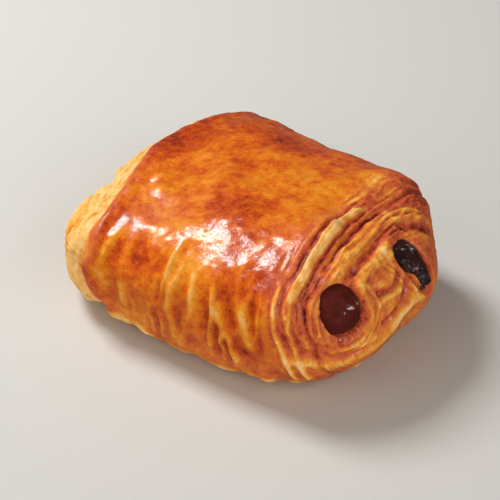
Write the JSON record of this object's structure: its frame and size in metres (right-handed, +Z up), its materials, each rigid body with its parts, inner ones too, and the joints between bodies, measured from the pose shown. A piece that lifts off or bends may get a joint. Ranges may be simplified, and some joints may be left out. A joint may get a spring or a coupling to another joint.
{
  "type": "pain au chocolat",
  "caption": "Baked roll of puff pastry with a glossy egg-washed crust, rolled dough lips at both ends and chocolate bars showing in the end face.",
  "frame": {"origin": "on the flat baked underside, below the middle of the bounding box", "axes": "+X along the chocolate bars, towards the rounder end that shows them in the picture; +Y across the roll, towards the side the picture hides; +Z up"},
  "size_m": [0.1122, 0.0968, 0.0462],
  "materials": {
    "crust": "egg-washed baked crust, glossy orange-golden with red-brown patches",
    "chocolate": "dark chocolate, melted and set again, glossy"
  },
  "bodies": {
    "root": {"pastry": "crust", "chocolate_left": "chocolate", "chocolate_right": "chocolate"}
  },
  "joints": []
}
